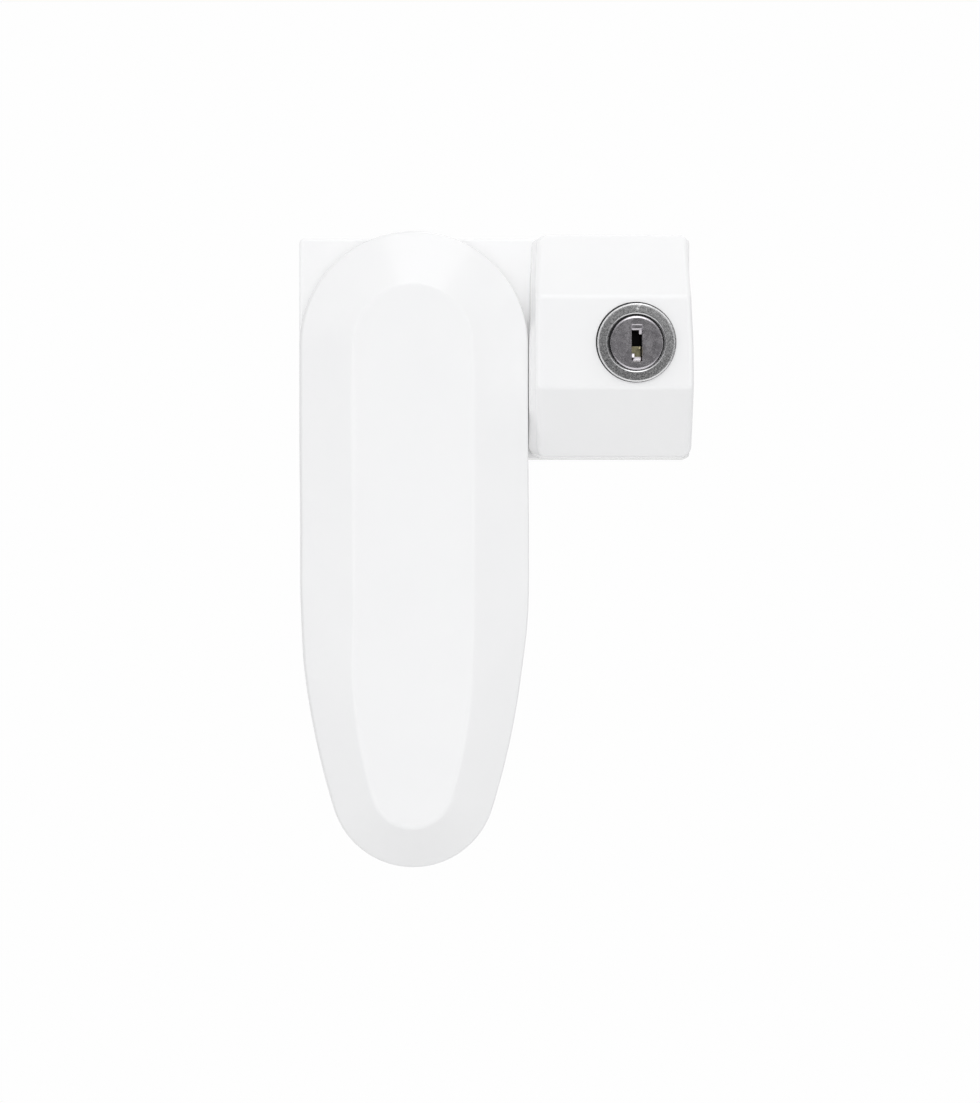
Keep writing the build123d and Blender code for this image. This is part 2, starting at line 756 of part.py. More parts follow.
def hub_screws():
    """Pan head screws through the hub's flange into the arm plate."""
    turned = pan_screw(hub_screw).rotate(Axis.X, 180)
    return placed(turned, hub_screw_points, arm_plate_front + hub_flange_thickness)


def lock_disc():
    """Steel disc that turns with the arm, notched for the bolt with the arm down, level and up."""
    disc = rod(disc_radius, disc_back, disc_front, pivot_x)
    end = hub_end_radius + fit_gap
    flat = hub_flat_reach + fit_gap
    flats = block(pivot_x - end, pivot_x + end, -flat, flat, disc_back, disc_front)
    disc -= rod(end, disc_back, disc_front, pivot_x) & flats
    half = bolt_half_height + notch_side_gap
    notch = block(notch_floor, disc_radius + notch_end_gap, -half, half, disc_back, disc_front)
    return disc - [Pos(pivot_x, 0) * notch.rotate(Axis.Z, angle) for angle in (0, 90, 180)]


def disc_retainer():
    """Heavy washer that holds the disc on the hub."""
    low = disc_back - retainer_thickness
    washer = rod(retainer_radius, low, disc_back, pivot_x)
    return washer - rod(disc_screw[0] + fit_gap, low, disc_back, pivot_x)


def centre_screw():
    """Screw in the hub's end that holds the retainer."""
    return Pos(pivot_x, 0, disc_back - retainer_thickness) * pan_screw(disc_screw)


def plug_screw():
    """Screw in the plug's tail that holds the crank."""
    return Pos(cylinder_x, cylinder_y, crank_back) * pan_screw(crank_screw)


pieces = {
    "wall_gasket": wall_gasket,
    "back_plate": back_plate,
    "wall_nuts": wall_nuts,
    "base_casting": base_casting,
    "back_plate_screws": back_plate_screws,
    "hub_bush": hub_bush,
    "disc_washer": disc_washer,
    "bolt_keeper": bolt_keeper,
    "keeper_screws": keeper_screws,
    "lock_housing": lock_housing,
    "housing_screws": housing_screws,
    "cylinder_body": cylinder_body,
    "cylinder_nut": cylinder_nut,
    "cylinder_plug": cylinder_plug,
    "wafers": wafers,
    "drive_crank": drive_crank,
    "crank_pin": crank_pin,
    "crank_screw": plug_screw,
    "lock_bolt": lock_bolt,
    "arm_cover": arm_cover,
    "arm_plate": arm_plate,
    "cover_screws": cover_screws,
    "door_pad": door_pad,
    "pivot_hub": pivot_hub,
    "hub_screws": hub_screws,
    "lock_disc": lock_disc,
    "disc_retainer": disc_retainer,
    "disc_screw": centre_screw,
}

os.makedirs("parts", exist_ok=True)
for name, make in pieces.items():
    export_step(stand(make()), f"parts/{name}.step")

print(f"pivot at x {pivot_x:.2f}, cylinder at x {cylinder_x:.2f}, z {cylinder_y:.2f}")
print(f"bolt travel {bolt_travel:.4f}, wall bolts at {wall_bolt_x:.2f}, {wall_bolt_y:.2f}")
print(f"base front {base_front:.2f}, arm back {arm_back:.2f}, arm front {arm_front:.2f}")
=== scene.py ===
import json
import math

import bmesh
import bpy
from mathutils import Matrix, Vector


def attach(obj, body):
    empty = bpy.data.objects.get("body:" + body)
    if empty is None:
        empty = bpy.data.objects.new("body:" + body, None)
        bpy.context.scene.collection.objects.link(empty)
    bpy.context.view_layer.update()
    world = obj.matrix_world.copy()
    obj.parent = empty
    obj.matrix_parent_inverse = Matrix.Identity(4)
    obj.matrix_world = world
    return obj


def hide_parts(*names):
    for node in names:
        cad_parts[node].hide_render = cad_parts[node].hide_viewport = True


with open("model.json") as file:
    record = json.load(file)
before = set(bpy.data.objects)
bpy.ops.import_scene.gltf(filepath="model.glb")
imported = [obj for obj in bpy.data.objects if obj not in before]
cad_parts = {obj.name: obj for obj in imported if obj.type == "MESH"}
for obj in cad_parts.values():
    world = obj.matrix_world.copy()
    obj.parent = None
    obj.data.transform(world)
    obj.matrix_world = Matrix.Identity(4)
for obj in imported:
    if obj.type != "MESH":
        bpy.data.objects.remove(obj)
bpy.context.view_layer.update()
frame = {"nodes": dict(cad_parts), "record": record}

nodes = frame["nodes"]

# Camera: straight in front, 1.2 m off the wall, as far as the photograph's perspective says
camera_place = (-0.0013, -1.2, -0.0609)
camera_sensor = 36
pixels_per_radian = 3940
photo_height = 1103

# Sizes in millimetres, as in the CAD: X to the right, Z up, and depth off the wall towards the front.
# A curve by height is a value and then steps, each an amount and the heights between which it comes in.
pivot_x = -24.0
cylinder_x, cylinder_z = 41.5, 0.4
base_front = 18.0
sharp_angle = 34  # edges that turn by more degrees are shaded as edges

# Arm. Each outline is half width, straight part, reach and tip radius
arm_size = (33.9, 68.0, 154.3, 24.5)
plateau_size = (17.6, 91.0, 142.0, 11.8)
hollow_size = (31.0, 75.5, 151.5, 21.5)  # as in the CAD, so that the arm plate fits
arm_back = 18.8
arm_rim = 35.0
arm_front = 46.0
cover_wall = 3.0
sway_curve = (0.12, (0.22, -25, -55), (-0.22, -78, -94), (-0.2, -84, -98))  # to the right
rim_round, rim_round_loss = 2.0, 0.7  # the edge's radius in the middle, and what is less at the right
crease_round_curve = (1.4, (3.6, 4, -18), (-2.4, -100, -130))
hollow_rim_round, hollow_crease_round = 0.8, 0.5
straight_steps, side_steps, tip_steps, top_steps = 24, 44, 32, 112
band_steps = 4
arm_round_steps, hollow_round_steps = 9, 3

# Housing, seen from the front
housing_left, housing_right = 12.0, 58.5
housing_bottom, housing_top = -32.85, 33.65
housing_front = 46.0
housing_wall = 3.0
crease_low, crease_high = -13.0, 13.9
chin_depth = 29.0
brow_depth = 24.0
chin_fall = (housing_front - chin_depth) / (crease_low - housing_bottom)
brow_fall = (housing_front - brow_depth) / (housing_top - crease_high)
edge_round, low_crease_round, high_crease_round = 1.7, 2.4, 2.6
inner_edge_round, inner_crease_round = 0.5, 0.3
edge_steps, inner_edge_steps = 10, 3
crease_steps = 10
# Width and height of each rounded corner. Those of the hollow are smaller, down to the least
housing_corners = {
    ("left", "bottom"): (2.2, 3.4), ("right", "bottom"): (3.0, 3.4),
    ("left", "top"): (4.2, 3.2), ("right", "top"): (2.6, 2.6),
}
corner_least = 0.6
corner_steps = 12
# Heights of the rows across its face, apart from those in its rounded creases
chin_rows = [-28 + 1.5 * i for i in range(8)]
face_rows = [-9, -5, -1, 3, 7, 10]
brow_rows = [2.5 + 2.0 * i for i in range(7)]  # above the upper crease
# How far each side stands in: both are slightly bowed
lean_curves = {"left": (0, (0.5, 17, 30), (0.5, -15, -29)), "right": (0, (0.95, -6, 22))}
# The left wall stands out under its shoulder: by the flare above the arm's head, and beside the arm until
# its foot nearly meets the arm and its lip stands in front of the arm's rim
housing_flare = 1.35
foot_x = 10.18
lip_x, lip_depth = 10.2, 36.8
beside_arm = (10, -2)  # heights between which the wall comes to the arm
tall_enough = (37.5, 41.5)  # depths of the wall between which its lip comes in
shoulder_curve = (0.66, (0.16, -14, -20))  # as a share of the wall's depth
shoulder_round = 1.0
lip_share = 0.12  # where the lip is on the way from the foot to the housing's edge

# Key cylinder. Pairs are half width and half height about its axis
bezel_front = 48.0
bezel_radius, bezel_side_front = 11.5, 47.5
bezel_edge_radius, bezel_edge_depth = 11.14, 47.92
bezel_face_radius, bezel_face_depth = 10.6, 47.935
bezel_off = (0.1, -0.15)  # its face stands a little off the axis, as in the photograph
bezel_mouth, bezel_lip = (9.1, 9.0), (8.72, 8.68)
bezel_hole, bezel_hole_front, bezel_hole_floor = (8.6, 8.38), 47.78, 46.4
bezel_hole_off = (0.0, -0.15)
bezel_soft, mouth_soft = 0.1, 0.06
cylinder_hole_radius = 9.55
dot_off = (0.5, 10.0)
dot_rings = ((0.46, 47.961), (0.36, 47.945), (0.2, 47.91), (0.06, 47.89))  # radius and depth
dot_points = 20
shank_radius, shank_flat = 9.5, 8.3
shank_back = 14.8
bore_gap = 0.06
plug_front = 47.7
plug_head, plug_head_front, plug_head_back = (7.74, 7.9), 47.44, 46.6
plug_chamfer, plug_face = (7.66, 7.34), (7.2, 6.9)
plug_radius = 7.0
plug_off = (0.1, -0.26)
tail_half, tail_back, tail_corner = 3.0, 12.45, 0.3
oval_points = 96
hole_points = 64
soft_steps = 3
soft_limit = 2.2  # a softened corner takes less than half of each side

# Key slot, about the same axis
slot_left, slot_right = -1.3, 1.66
slot_low, slot_high = -5.68, 4.9
slot_floor = 24.0
# How far its mouth reaches beyond it to the left, right, bottom and top, then depth and corner radius
slot_mouth = (
    (0.1, 0.12, 0.2, 0.3, plug_front, 0.25),
    (0.04, 0.06, 0.1, 0.14, plug_front - 0.12, 0.2),
    (0, 0, 0, 0, plug_front - 0.26, 0.15),
    (0, 0, 0, 0, 40.0, 0.15),
    (0, 0, 0, 0, slot_floor, 0.15),
)
detail_gap, detail_edge = 0.02, 0.05
inner_left, inner_right = slot_left + detail_gap, slot_right - detail_gap
# What shows in the mouth: slot of the material, section of (z, depth) points, left and right
slot_parts = {
    "slot_ledge": (
        "nickel_plug", [(4.88, 47.25), (3.95, 47.15), (3.5, 46.75), (3.5, 45.6), (4.88, 45.2)],
        inner_left, inner_right,
    ),
    "slot_ward": (
        "nickel_plug", [(3.52, 46.9), (2.3, 46.0), (2.0, 44.5), (3.52, 44.5)],
        inner_right - 0.8, inner_right,
    ),
    "shutter_lip": (
        "wafer_brass", [(-1.15, 44.9), (-1.3, 45.1), (-4.3, 45.1), (-4.3, 44.3), (-1.15, 44.3)],
        inner_left, inner_right - 0.35,
    ),
    "shutter_pin": (
        "wafer_brass", [(-1.05, 45.2), (-1.85, 45.9), (-1.95, 45.0), (-1.05, 45.0)],
        inner_right - 0.85, inner_right - 0.3,
    ),
    "slot_ramp": (
        "nickel_plug", [(-4.3, 46.1), (-5.62, 47.25), (-5.66, 45.0), (-4.3, 45.0)],
        inner_left + 0.4, inner_right - 0.3,
    ),
    "slot_sill": (
        "nickel_plug", [(-5.36, 47.05), (-5.64, 47.36), (-5.66, 45.0), (-5.36, 45.0)],
        inner_left, inner_right - 0.25,
    ),
    "slot_cheek": (
        "nickel_plug", [(-3.3, 46.1), (-4.5, 46.9), (-4.5, 45.0), (-3.3, 45.0)],
        inner_left, inner_left + 0.75,
    ),
}
# Black box deep in the key slot, put there as painted shade: low and high sides, corner radius, gap, wall,
# back, floor and front depths
shade_liner_low, shade_liner_high, shade_liner_corner = -1.2, 3.5, 0.12
shade_liner_gap, shade_liner_wall = 0.01, 0.1
shade_liner_back, shade_liner_floor, shade_liner_front = 34.0, 34.2, 44.4
# Rubber rings, whose black is partly painted shade: the shadow line at the bezel's foot and the dark groove
# round the plug. Body, how far off the axis, inner and outer radius, and the depth of the widest place
seals = {
    "bezel_seal": ("base", (-0.02, 0.02), 11.1, 11.8, housing_front),
    "dust_seal": ("plug", (0, 0), 7.5, 8.2, 46.75),
}
seal_steps = 8

# Light and room, in metres. A radiance of 1 shows as white
middle = (0, -0.03, -0.06)
# Name, place, aim, width, height, radiance, and whether gloss and matt colour take its light. The lamp
# behind also brightens the rim, and the tall strip in front lights the faces and the gap
lamps = (
    ("overhead", (0.06, -0.46, 0.62), (0.06, -0.46, 0), 0.5, 0.68, 1.2, True, False),
    ("behind", (0.12, 0.32, 0.62), (0.12, 0.32, 0), 0.3, 0.46, 1.2, True, True),
    ("strip", (0.012, -1.7, 0.2), (0.012, -0.03, -0.06), 0.12, 1.3, 16.3, False, True),
    ("sky", (0.012, -0.46, 0.62), (0.012, -0.46, 0), 0.12, 0.68, 1.5, False, True),
    ("fill", (-1.1, -0.8, 0.35), middle, 0.7, 0.7, 0.68, False, True),
    ("fill_right", (1.1, -0.8, 0.35), middle, 0.7, 0.7, 0.45, False, True),
)
room_below, room_above = (0.34, 0.347, 0.365, 1), (0.81, 0.81, 0.81, 1)
white = (0.991, 0.991, 0.991, 1)
floor_radius, floor_place = 1.5, (0, 0, -0.62)
floor_pale, floor_deep = (0.77, 0.77, 0.77), (0.74, 0.74, 0.74)
# Dark cards that show in gloss and metal alone: radius, place, turn and stretch
card_deep, card_pale = (0.125, 0.125, 0.125), (0.135, 0.135, 0.135)
cards = {
    "front_card": (0.5, (0, -1.5, -0.09), (math.pi / 2, 0, 0), 1.0),
    "left_card": (0.36, (-0.8, 0.22, 0), (0, math.pi / 2, 0), 1.5),
    "right_card": (0.36, (0.88, 0.22, 0), (0, math.pi / 2, 0), 1.5),
}
disc_points = 96


class ShaderTree:
    """Short ways to build a node tree."""

    def __init__(self, tree):
        self.tree = tree

    def add(self, kind, **values):
        node = self.tree.nodes.new(kind)
        for name, value in values.items():
            setattr(node, name, value)
        return node

    def link(self, start, end):
        self.tree.links.new(start, end)

    def any_ray(self, *kinds):
        """1 where the ray is of one of these kinds."""
        rays = self.add("ShaderNodeLightPath")
        seen = rays.outputs[kinds[0]]
        for kind in kinds[1:]:
            either = self.add("ShaderNodeMath", operation="MAXIMUM")
            self.link(seen, either.inputs[0])
            self.link(rays.outputs[kind], either.inputs[1])
            seen = either.outputs[0]
        return seen

    def switch(self, value, first, second):
        """The first shader where the value is 0, and the second where it is 1."""
        node = self.add("ShaderNodeMixShader")
        self.link(value, node.inputs["Fac"])
        self.link(first, node.inputs[1])
        self.link(second, node.inputs[2])
        return node.outputs[0]


class Shader(ShaderTree):
    """A node material with a Principled shader."""

    def __init__(self, name):
        self.material = bpy.data.materials.new(name)
        self.material.use_nodes = True
        super().__init__(self.material.node_tree)
        self.surface = self.tree.nodes["Principled BSDF"]
        self.place = self.add("ShaderNodeTexCoord").outputs["Object"]

    def feed(self, name, value):
        self.link(value, self.surface.inputs[name])

    def set(self, **values):
        for name, value in values.items():
            self.surface.inputs[name].default_value = value

    def stretched(self, scale):
        """The object's own coordinates, stretched."""
        mapping = self.add("ShaderNodeMapping")
        mapping.inputs["Scale"].default_value = scale
        self.link(self.place, mapping.inputs["Vector"])
        return mapping.outputs["Vector"]

    def noise(self, scale, detail=2.0, roughness=0.5, place=None):
        node = self.add("ShaderNodeTexNoise")
        node.inputs["Scale"].default_value = scale
        node.inputs["Detail"].default_value = detail
        node.inputs["Roughness"].default_value = roughness
        self.link(place or self.place, node.inputs["Vector"])
        return node.outputs["Fac"]

    def spread(self, value, low, high, start=0.3, end=0.7):
        """Maps a texture's value to a range."""
        node = self.add("ShaderNodeMapRange")
        node.inputs["From Min"].default_value = start
        node.inputs["From Max"].default_value = end
        node.inputs["To Min"].default_value = low
        node.inputs["To Max"].default_value = high
        self.link(value, node.inputs["Value"])
        return node.outputs["Result"]

    def blend(self, value, first, second):
        """A colour between two, by a texture's value."""
        node = self.add("ShaderNodeMix", data_type="RGBA")
        self.link(value, node.inputs["Factor"])
        node.inputs["A"].default_value = (*first, 1)
        node.inputs["B"].default_value = (*second, 1)
        return node.outputs["Result"]

    def bump(self, value, strength, distance):
        node = self.add("ShaderNodeBump")
        node.inputs["Strength"].default_value = strength
        node.inputs["Distance"].default_value = distance
        self.link(value, node.inputs["Height"])
        return node.outputs["Normal"]

    def combine(self, operation, first, second):
        node = self.add("ShaderNodeMath", operation=operation)
        self.link(first, node.inputs[0])
        self.link(second, node.inputs[1])
        return node.outputs[0]

    def around(self, x, z):
        """Distance from an axis that runs along Y."""
        parts = self.add("ShaderNodeSeparateXYZ")
        self.link(self.place, parts.inputs["Vector"])
        squares = []
        for name, centre in (("X", x), ("Z", z)):
            off = self.add("ShaderNodeMath", operation="SUBTRACT")
            self.link(parts.outputs[name], off.inputs[0])
            off.inputs[1].default_value = centre
            squares.append(self.combine("MULTIPLY", off.outputs[0], off.outputs[0]))
        root = self.add("ShaderNodeMath", operation="SQRT")
        self.link(self.combine("ADD", *squares), root.inputs[0])
        return root.outputs[0]


def gloss(name, pale, deep, rough, peel):
    """White gloss: a faint uneven tone, uneven polish and the slight ripple of a moulded or painted skin."""
    shader = Shader(name)
    tone = shader.noise(scale=55, detail=3)
    shader.feed("Base Color", shader.blend(shader.spread(tone, 0, 1), pale, deep))
    polish = shader.noise(scale=240, detail=4, roughness=0.6)
    shader.feed("Roughness", shader.spread(polish, *rough))
    ripple = shader.noise(peel, detail=2, roughness=0.4)
    shader.feed("Normal", shader.bump(ripple, strength=0.35, distance=0.00001))
    shader.set(IOR=1.43)
    return shader.material


def metal(name, pale, deep, rough, grain, grain_depth=0.00002, mottle=900):
    """Metal with a grain that is stretched along one way, and a mottled tone."""
    shader = Shader(name)
    lines = shader.noise(scale=1, detail=4, roughness=0.7, place=shader.stretched(grain))
    spots = shader.noise(mottle, detail=4, roughness=0.65)
    mixed = shader.combine("ADD", lines, spots)
    tone = shader.spread(mixed, 0, 1, start=0.7, end=1.3)
    shader.feed("Base Color", shader.blend(tone, deep, pale))
    shader.feed("Roughness", shader.spread(spots, *rough))
    shader.feed("Normal", shader.bump(lines, strength=0.4, distance=grain_depth))
    shader.set(Metallic=1.0)
    return shader.material


def turned(name, pale, deep, rough, rings):
    """Metal turned on a lathe about the key cylinder's axis: fine rings over a mottled satin."""
    shader = Shader(name)
    radius = shader.around(cylinder_x / 1000, cylinder_z / 1000)
    combined = shader.add("ShaderNodeCombineXYZ")
    shader.link(radius, combined.inputs["X"])
    ring = shader.noise(rings, detail=2, roughness=0.6, place=combined.outputs["Vector"])
    spots = shader.noise(scale=1500, detail=6, roughness=0.72)
    mixed = shader.combine("ADD", ring, spots)
    tone = shader.spread(mixed, 0, 1, start=0.75, end=1.25)
    shader.feed("Base Color", shader.blend(tone, deep, pale))
    shader.feed("Roughness", shader.spread(spots, *rough))
    shader.feed("Normal", shader.bump(mixed, strength=0.3, distance=0.00001))
    shader.set(Metallic=1.0)
    return shader.material


def matt(name, pale, deep, rough, pebbles, depth, **values):
    """Matt rubber or bearing plastic with a fine pebbled skin."""
    shader = Shader(name)
    pebble = shader.noise(pebbles, detail=4, roughness=0.6)
    shader.feed("Base Color", shader.blend(shader.spread(pebble, 0, 1), pale, deep))
    shader.feed("Roughness", shader.spread(pebble, *rough))
    shader.feed("Normal", shader.bump(pebble, strength=0.5, distance=depth))
    shader.set(**values)
    return shader.material


materials = {
    "white_shell": gloss(
        "white_shell", (0.955, 0.955, 0.955), (0.945, 0.945, 0.947), rough=(0.13, 0.19), peel=700,
    ),
    # The casting's white is paler than the shell's: painted light, which lifts the base out of the shade
    # beside the arm and the housing
    "white_casting": gloss(
        "white_casting", (0.982, 0.982, 0.982), (0.972, 0.972, 0.974), rough=(0.16, 0.24), peel=480,
    ),
    "plated_steel": metal(
        "plated_steel", (0.62, 0.63, 0.65), (0.5, 0.51, 0.53), rough=(0.28, 0.42),
        grain=(300, 300, 5000),
    ),
    "machined_steel": metal(
        "machined_steel", (0.56, 0.56, 0.57), (0.42, 0.42, 0.43), rough=(0.25, 0.38),
        grain=(4000, 400, 400),
    ),
    "screw_steel": metal(
        "screw_steel", (0.6, 0.6, 0.61), (0.48, 0.48, 0.49), rough=(0.2, 0.34),
        grain=(2500, 2500, 2500),
    ),
    "nickel_body": turned(
        "nickel_body", (0.86, 0.86, 0.865), (0.62, 0.62, 0.63), rough=(0.18, 0.34), rings=9000,
    ),
    "nickel_plug": metal(
        "nickel_plug", (0.74, 0.715, 0.75), (0.58, 0.555, 0.59), rough=(0.22, 0.3),
        grain=(9000, 700, 220), grain_depth=0.00001, mottle=500,
    ),
    "wafer_brass": metal(
        "wafer_brass", (0.6, 0.56, 0.36), (0.38, 0.35, 0.22), rough=(0.25, 0.4),
        grain=(3000, 3000, 500),
    ),
    "rubber": matt(
        "rubber", (0.014, 0.014, 0.015), (0.024, 0.024, 0.025), rough=(0.62, 0.8),
        pebbles=2600, depth=0.00004, IOR=1.35,
    ),
    "bearing_plastic": matt(
        "bearing_plastic", (0.78, 0.77, 0.74), (0.72, 0.71, 0.68), rough=(0.42, 0.55),
        pebbles=1800, depth=0.00001,
    ),
}

slot_of = {part["node"]: part["material_slot"] for part in frame["record"]["subparts"]}
for name, node in nodes.items():
    for slot in node.material_slots:
        slot.material = materials[slot_of[name]]


class Skin:
    """Mesh that is put together ring by ring, from points of x, depth and z in millimetres."""

    def __init__(self):
        self.mesh = bmesh.new()

    def ring(self, points):
        return [self.mesh.verts.new((x / 1000, -depth / 1000, z / 1000)) for x, depth, z in points]

    def bridge(self, first, second):
        for i, start in enumerate(first):
            j = (i + 1) % len(first)
            self.mesh.faces.new((start, first[j], second[j], second[i]))

    def bridge_all(self, rings):
        for first, second in zip(rings, rings[1:]):
            self.bridge(first, second)

    def cap(self, ring):
        self.mesh.faces.new(ring)

    def cap_round(self, outer, holes):
        """Fills a flat face that has holes."""
        edges = []
        for ring in (outer, *holes):
            for ends in zip(ring, ring[1:] + ring[:1]):
                edges.append(self.mesh.edges.get(ends) or self.mesh.edges.new(ends))
        bmesh.ops.triangle_fill(self.mesh, edges=edges, use_beauty=True)

    def piece(self, name, body, slot, stands_for=()):
        bmesh.ops.recalc_face_normals(self.mesh, faces=self.mesh.faces)
        for face in self.mesh.faces:
            face.smooth = True
        for edge in self.mesh.edges:
            if edge.is_manifold and edge.calc_face_angle() > math.radians(sharp_angle):
                edge.smooth = False
        data = bpy.data.meshes.new(name)
        self.mesh.to_mesh(data)
        self.mesh.free()
        data.materials.append(materials[slot])
        made = bpy.data.objects.new(name, data)
        bpy.context.scene.collection.objects.link(made)
        even = made.modifiers.new("even_normals", "WEIGHTED_NORMAL")
        even.keep_sharp = True
        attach(made, body)
        if stands_for:
            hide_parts(*stands_for)


def ramp(value, start, end):
    """Smooth step from 0 at the start to 1 at the end."""
    share = min(max((value - start) / (end - start), 0), 1)
    return share * share * (3 - 2 * share)


def curve(z, value, *steps):
    """A value that changes smoothly with height, as described above."""
    return value + sum(amount * ramp(z, start, end) for amount, start, end in steps)


def arc(centre, radius, start, end, count):
    """Points along an arc, angles in radians."""
    return [
        (
            centre[0] + radius * math.cos(start + (end - start) * i / count),
            centre[1] + radius * math.sin(start + (end - start) * i / count),
        )
        for i in range(count + 1)
    ]


def circle(centre, radius, count):
    return arc(centre, radius, 0, 2 * math.pi, count)[:-1]


def line(start, end, count):
    return [
        (start[0] + (end[0] - start[0]) * i / count, start[1] + (end[1] - start[1]) * i / count)
        for i in range(count + 1)
    ]


def sway(z):
    """How far the arm's outline bends to the right on its way down."""
    return curve(z, *sway_curve)


def rim_radius(x):
    """The arm's edge is rounder at the left than at the right."""
    return rim_round - rim_round_loss * (x - pivot_x) / arm_size[0]


def crease_radius(z):
    """The plateau's crease is crisp round the top, soft along the sides and a little sharper at the tip."""
    return curve(z, *crease_round_curve)


def paddle(size, bend):
    """Outline that hangs from the pivot: round top, straight sides, tapering arcs and a round tip."""
    half_width, straight, reach, tip_radius = size
    tip_z = tip_radius - reach
    drop = reach - tip_radius - straight
    side_radius = (half_width**2 + drop**2 - tip_radius**2) / (2 * (half_width - tip_radius))
    side_x = half_width - side_radius
    turn = math.atan2(tip_z + straight, -side_x)
    right = line((half_width, 0), (half_width, -straight), straight_steps)
    right += arc((side_x, -straight), side_radius, 0, turn, side_steps)[1:]
    right += arc((0, tip_z), tip_radius, turn, -math.pi / 2, tip_steps)[1:]
    left = [(-x, z) for x, z in reversed(right[:-1])]
    top = arc((0, 0), half_width, math.pi, 0, top_steps)[1:-1]
    return [(pivot_x + x + bend(z), z) for x, z in right + left + top]


def arm_rings(skin, outline, rim, plateau, front, rim_at, crease_at, steps):
    """Side wall, rounded rim, sloping band and rounded crease, up to the edge of the plateau."""
    columns = []
    for (x, z), (inner_x, inner_z) in zip(outline, plateau):
        crease, edge = crease_at(inner_z), rim_at(x)
        run = math.hypot(inner_x - x, inner_z - z)
        tilt = math.atan2(front - rim, run)
        along = ((inner_x - x) / run, (inner_z - z) / run)
        rim_turn = math.pi / 2 - tilt
        start = rim - edge * math.tan(rim_turn / 2)
        path = [(0, arm_back), (0, arm_back + (start - arm_back) / 2)]
        for i in range(steps + 1):
            angle = rim_turn * i / steps
            path.append((edge * (1 - math.cos(angle)), start + edge * math.sin(angle)))
        end = run + crease * math.tan(tilt / 2)
        last = (end - crease * math.sin(tilt), front - crease * (1 - math.cos(tilt)))
        path += line(path[-1], last, band_steps)[1:-1]
        for i in range(steps + 1):
            angle = tilt * (1 - i / steps)
            path.append((end - crease * math.sin(angle), front - crease * (1 - math.cos(angle))))
        columns.append([(x + along[0] * h, d, z + along[1] * h) for h, d in path])
    rings = [skin.ring(points) for points in zip(*columns)]
    skin.bridge_all(rings)
    skin.cap(rings[-1])
    return rings[0]


def arm_cover():
    """Long rounded shell with its raised flat, hollow behind."""
    skin = Skin()
    outer = arm_rings(
        skin, paddle(arm_size, sway), arm_rim, paddle(plateau_size, sway), arm_front,
        rim_radius, crease_radius, arm_round_steps,
    )
    slope = (arm_front - arm_rim) / (arm_size[0] - plateau_size[0])
    drop = cover_wall * math.sqrt(1 + slope**2)
    inset = (drop - cover_wall) / slope
    half_width, straight, reach, tip_radius = plateau_size
    flat_size = (half_width - inset, straight, reach - inset, tip_radius - inset)
    inner = arm_rings(
        skin, paddle(hollow_size, lambda z: 0), arm_rim + slope * cover_wall - drop,
        paddle(flat_size, lambda z: 0), arm_front - cover_wall,
        lambda x: hollow_rim_round, lambda z: hollow_crease_round, hollow_round_steps,
    )
    skin.bridge(outer, inner)
    skin.piece("arm_shell", "arm", "white_shell", ["arm_cover"])


def roof(z, inset, low_round, high_round):
    """Depth of the housing's face at a height, and its slope there."""
    front = housing_front - inset
    for side, crease, fall, radius in (
        (1, crease_high, brow_fall, high_round),
        (-1, crease_low, chin_fall, low_round),
    ):
        tilt = math.atan(fall)
        # Where the facets meet, and how far the rounding reaches to each side of it
        corner = abs(crease) - inset * math.tan(tilt / 2)
        reach = radius * math.tan(tilt / 2)
        out = side * z - corner
        if out > reach * math.cos(tilt):
            return front - fall * out, -side * fall
        if out > -reach:
            over = out + reach
            height = math.sqrt(radius**2 - over**2)
            return front - radius + height, -side * over / height
    return front, 0.0


def housing_outline(inset, stations):
    """Left and right edge points with their inward directions, from the bottom to the top."""
    bottom, top = housing_bottom + inset, housing_top - inset
    sides = []
    for side, edge, inward in (("left", housing_left + inset, 1), ("right", housing_right - inset, -1)):
        points = []
        wide, tall = (max(size - inset, corner_least) for size in housing_corners[side, "bottom"])
        for i in range(corner_steps):
            angle = math.pi / 2 * i / corner_steps
            points.append((
                edge + inward * wide * (1 - math.sin(angle)), bottom + tall * (1 - math.cos(angle)),
                inward * math.sin(angle), math.cos(angle),
            ))
        low = bottom + tall
        wide, tall = (max(size - inset, corner_least) for size in housing_corners[side, "top"])
        high = top - tall
        # Both sides share the heights between their corners, so that rows run straight across
        points += [(edge, z, inward, 0.0) for z in [low, *stations]]
        for i in range(corner_steps + 1):
            angle = math.pi / 2 * i / corner_steps
            points.append((
                edge + inward * wide * (1 - math.cos(angle)), high + tall * math.sin(angle),
                inward * math.cos(angle), -math.sin(angle),
            ))
        sides.append([(x + inward * curve(z, *lean_curves[side]), z, nx, nz) for x, z, nx, nz in points])
    return sides


